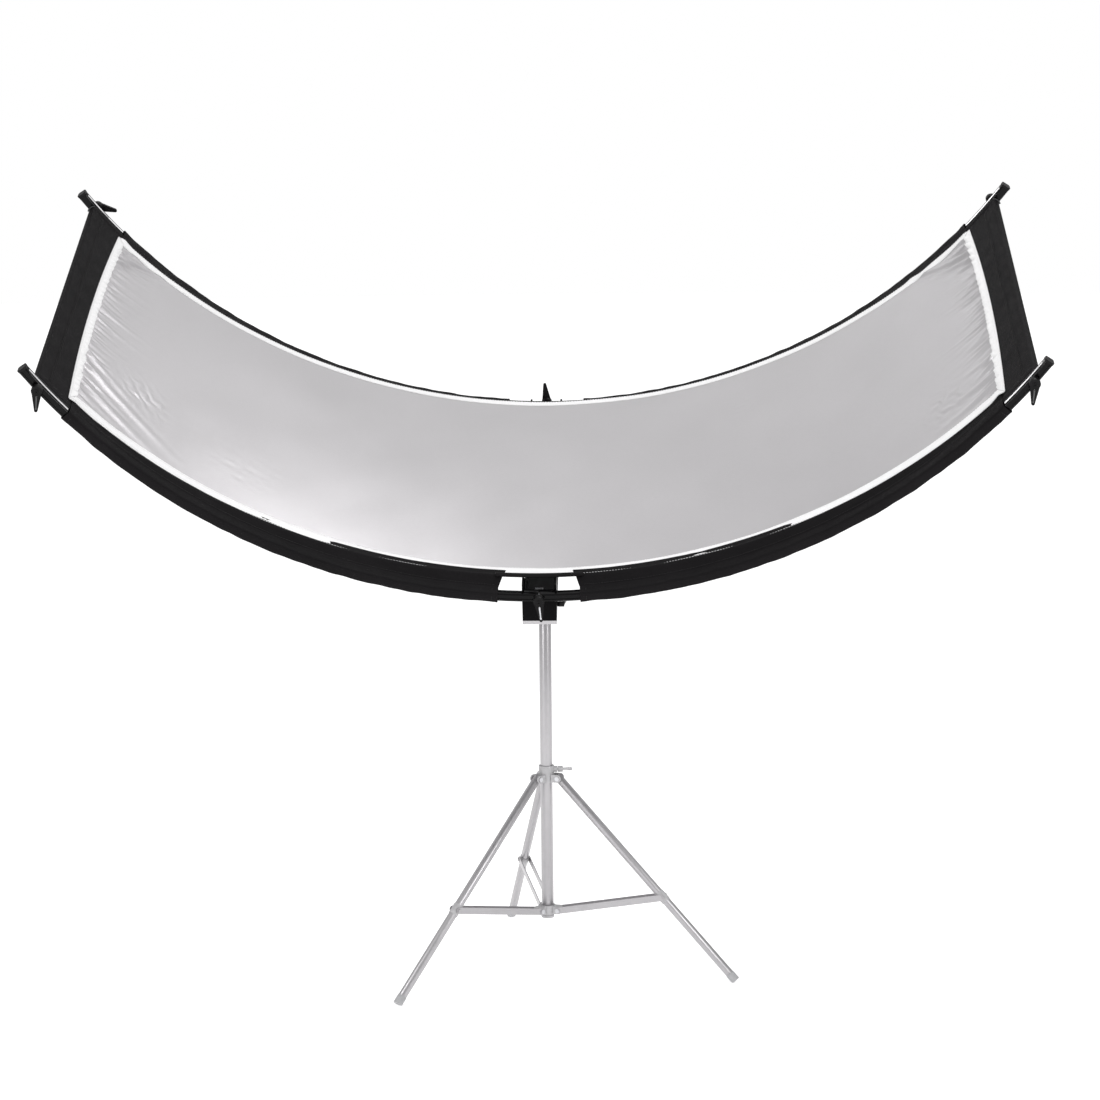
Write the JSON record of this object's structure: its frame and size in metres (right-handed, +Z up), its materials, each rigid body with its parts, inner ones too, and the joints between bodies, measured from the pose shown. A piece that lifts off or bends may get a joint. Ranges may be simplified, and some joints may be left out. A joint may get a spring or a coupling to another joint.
{
  "type": "curved photographic reflector on folding stand",
  "caption": "Curved U-shaped photographic light reflector with silver-white cloth in a black rail frame, on a tilt head and a small folding tripod stand.",
  "frame": {"origin": "on the floor under the axis of the stand column, at the centre of the circle through the three feet", "axes": "+Z up along the column; +X to the right along the length of the reflector; the front of the reflector faces -Y"},
  "size_m": [1.4374, 0.7564, 1.2156],
  "materials": {
    "black_anodised": "black anodised, satin",
    "black_plate": "black powder coat",
    "black_plastic": "fine texture",
    "steel": "zinc plated",
    "silver_aluminium": "natural satin",
    "grey_plastic": "moulded",
    "grey_rubber": "matt",
    "silver_cloth": "satin silver-white reflective cloth",
    "black_cloth": "woven nylon",
    "white_binding": "woven tape"
  },
  "bodies": {
    "column": {"column_tube": "silver_aluminium", "column_spigot": "silver_aluminium", "column_plug": "grey_plastic", "brace_collar": "grey_plastic", "brace_pins": "steel"},
    "leg_collar": {"leg_collar": "grey_plastic", "leg_pins": "steel"},
    "collar_lock": {"collar_lock_knob": "grey_plastic"},
    "tilt_head": {"tilt_head": "silver_aluminium"},
    "swivel_lock": {"swivel_lock_knob": "black_plastic"},
    "tilt_lock": {"tilt_lever": "black_plastic"},
    "reflector": {"front_rail_left": "black_anodised", "front_rail_right": "black_anodised", "rear_rail_left": "black_anodised", "rear_rail_right": "black_anodised", "front_sleeve_left": "black_cloth", "front_sleeve_right": "black_cloth", "rear_sleeve_left": "black_cloth", "rear_sleeve_right": "black_cloth", "front_rail_splice": "steel", "rear_rail_splice": "steel", "rail_end_caps": "black_plastic", "left_end_bar": "black_anodised", "right_end_bar": "black_anodised", "left_end_panel": "black_cloth", "right_end_panel": "black_cloth", "reflective_sheet": "silver_cloth", "edge_binding": "white_binding", "crossbar": "black_anodised", "front_bracket": "black_plate", "rear_bracket": "black_plate", "crossbar_base_plate": "silver_aluminium", "crossbar_spacer": "black_anodised", "clamp_nuts": "steel", "lever_washers": "black_plastic", "tilt_yoke": "black_plate", "yoke_screws": "steel", "tilt_nut": "steel"},
    "rear_leg": {"rear_leg": "silver_aluminium", "rear_foot": "grey_rubber", "rear_leg_clip": "grey_plastic"},
    "rear_brace": {"rear_brace": "silver_aluminium"},
    "right_leg": {"right_leg": "silver_aluminium", "right_foot": "grey_rubber", "right_leg_clip": "grey_plastic"},
    "right_brace": {"right_brace": "silver_aluminium"},
    "left_leg": {"left_leg": "silver_aluminium", "left_foot": "grey_rubber", "left_leg_clip": "grey_plastic"},
    "left_brace": {"left_brace": "silver_aluminium"},
    "front_left_clamp": {"front_left_lever": "black_plastic"},
    "front_right_clamp": {"front_right_lever": "black_plastic"},
    "rear_left_clamp": {"rear_left_lever": "black_plastic"},
    "rear_right_clamp": {"rear_right_lever": "black_plastic"},
    "front_centre_clamp": {"front_centre_lever": "black_plastic"},
    "rear_centre_clamp": {"rear_centre_lever": "black_plastic"},
    "side_clamp": {"side_lever": "black_plastic"}
  },
  "joints": [
    {"name": "leg_collar_slide", "type": "slide", "parent": "column", "child": "leg_collar", "axis": [0, 0, 1], "range_m": [0, 0.2035]},
    {"name": "collar_lock_turn", "type": "hinge", "parent": "leg_collar", "child": "collar_lock", "pos_m": [0.017, 0, 0.317], "axis": [1, 0, 0], "range_deg": [0, 360]},
    {"name": "head_swivel", "type": "hinge", "parent": "column", "child": "tilt_head", "pos_m": [0, 0, 0.62792], "axis": [0, 0, 1], "continuous": true},
    {"name": "swivel_lock_turn", "type": "hinge", "parent": "tilt_head", "child": "swivel_lock", "pos_m": [0, 0.014, 0.63892], "axis": [0, 1, 0], "range_deg": [0, 360]},
    {"name": "tilt_lock_turn", "type": "hinge", "parent": "tilt_head", "child": "tilt_lock", "pos_m": [0.0216, 0, 0.66192], "axis": [1, 0, 0], "range_deg": [0, 360]},
    {"name": "reflector_tilt", "type": "hinge", "parent": "tilt_head", "child": "reflector", "pos_m": [0, 0, 0.66192], "axis": [1, 0, 0], "range_deg": [-67, 68]},
    {"name": "rear_leg_fold", "type": "hinge", "parent": "leg_collar", "child": "rear_leg", "pos_m": [-0.0045, 0.01949, 0.304], "axis": [-0.9744, -0.225, 0], "range_deg": [0, 39.31]},
    {"name": "rear_brace_swing", "type": "hinge", "parent": "column", "child": "rear_brace", "pos_m": [-0.00418, 0.01812, 0.093], "axis": [0.9744, 0.225, 0], "range_deg": [0, 72.66]},
    {"name": "right_leg_fold", "type": "hinge", "parent": "leg_collar", "child": "right_leg", "pos_m": [0.01913, -0.00585, 0.304], "axis": [0.2924, 0.9563, 0], "range_deg": [0, 39.31]},
    {"name": "right_brace_swing", "type": "hinge", "parent": "column", "child": "right_brace", "pos_m": [0.01779, -0.00544, 0.093], "axis": [-0.2924, -0.9563, 0], "range_deg": [0, 72.66]},
    {"name": "left_leg_fold", "type": "hinge", "parent": "leg_collar", "child": "left_leg", "pos_m": [-0.01463, -0.01364, 0.304], "axis": [0.682, -0.7314, 0], "range_deg": [0, 39.31]},
    {"name": "left_brace_swing", "type": "hinge", "parent": "column", "child": "left_brace", "pos_m": [-0.0136, -0.01269, 0.093], "axis": [-0.682, 0.7314, 0], "range_deg": [0, 72.66]},
    {"name": "front_left_lever_turn", "type": "hinge", "parent": "reflector", "child": "front_left_clamp", "pos_m": [-0.69222, -0.44149, 0.96315], "axis": [0, -0.9272, -0.3746], "range_deg": [0, 360]},
    {"name": "front_right_lever_turn", "type": "hinge", "parent": "reflector", "child": "front_right_clamp", "pos_m": [0.69222, -0.44149, 0.96315], "axis": [0, -0.9272, -0.3746], "range_deg": [0, 360]},
    {"name": "front_centre_lever_turn", "type": "hinge", "parent": "reflector", "child": "front_centre_clamp", "pos_m": [0, -0.3105, 0.63893], "axis": [0, -0.9272, -0.3746], "range_deg": [0, 360]},
    {"name": "rear_left_lever_turn", "type": "hinge", "parent": "reflector", "child": "rear_left_clamp", "pos_m": [-0.69222, 0.10833, 1.18529], "axis": [0, 0.9272, 0.3746], "range_deg": [0, 360]},
    {"name": "rear_right_lever_turn", "type": "hinge", "parent": "reflector", "child": "rear_right_clamp", "pos_m": [0.69222, 0.10833, 1.18529], "axis": [0, 0.9272, 0.3746], "range_deg": [0, 360]},
    {"name": "rear_centre_lever_turn", "type": "hinge", "parent": "reflector", "child": "rear_centre_clamp", "pos_m": [0, 0.23932, 0.86107], "axis": [0, 0.9272, 0.3746], "range_deg": [0, 360]},
    {"name": "side_lever_turn", "type": "hinge", "parent": "reflector", "child": "side_clamp", "pos_m": [0.025, -0.26496, 0.62713], "axis": [1, 0, 0], "range_deg": [0, 360]}
  ],
  "couplings": [
    {"joint": "rear_leg_fold", "follows": "leg_collar_slide", "rad_per_m": 3.3711},
    {"joint": "rear_brace_swing", "follows": "leg_collar_slide", "rad_per_m": 6.2318},
    {"joint": "right_leg_fold", "follows": "leg_collar_slide", "rad_per_m": 3.3711},
    {"joint": "right_brace_swing", "follows": "leg_collar_slide", "rad_per_m": 6.2318},
    {"joint": "left_leg_fold", "follows": "leg_collar_slide", "rad_per_m": 3.3711},
    {"joint": "left_brace_swing", "follows": "leg_collar_slide", "rad_per_m": 6.2318}
  ]
}
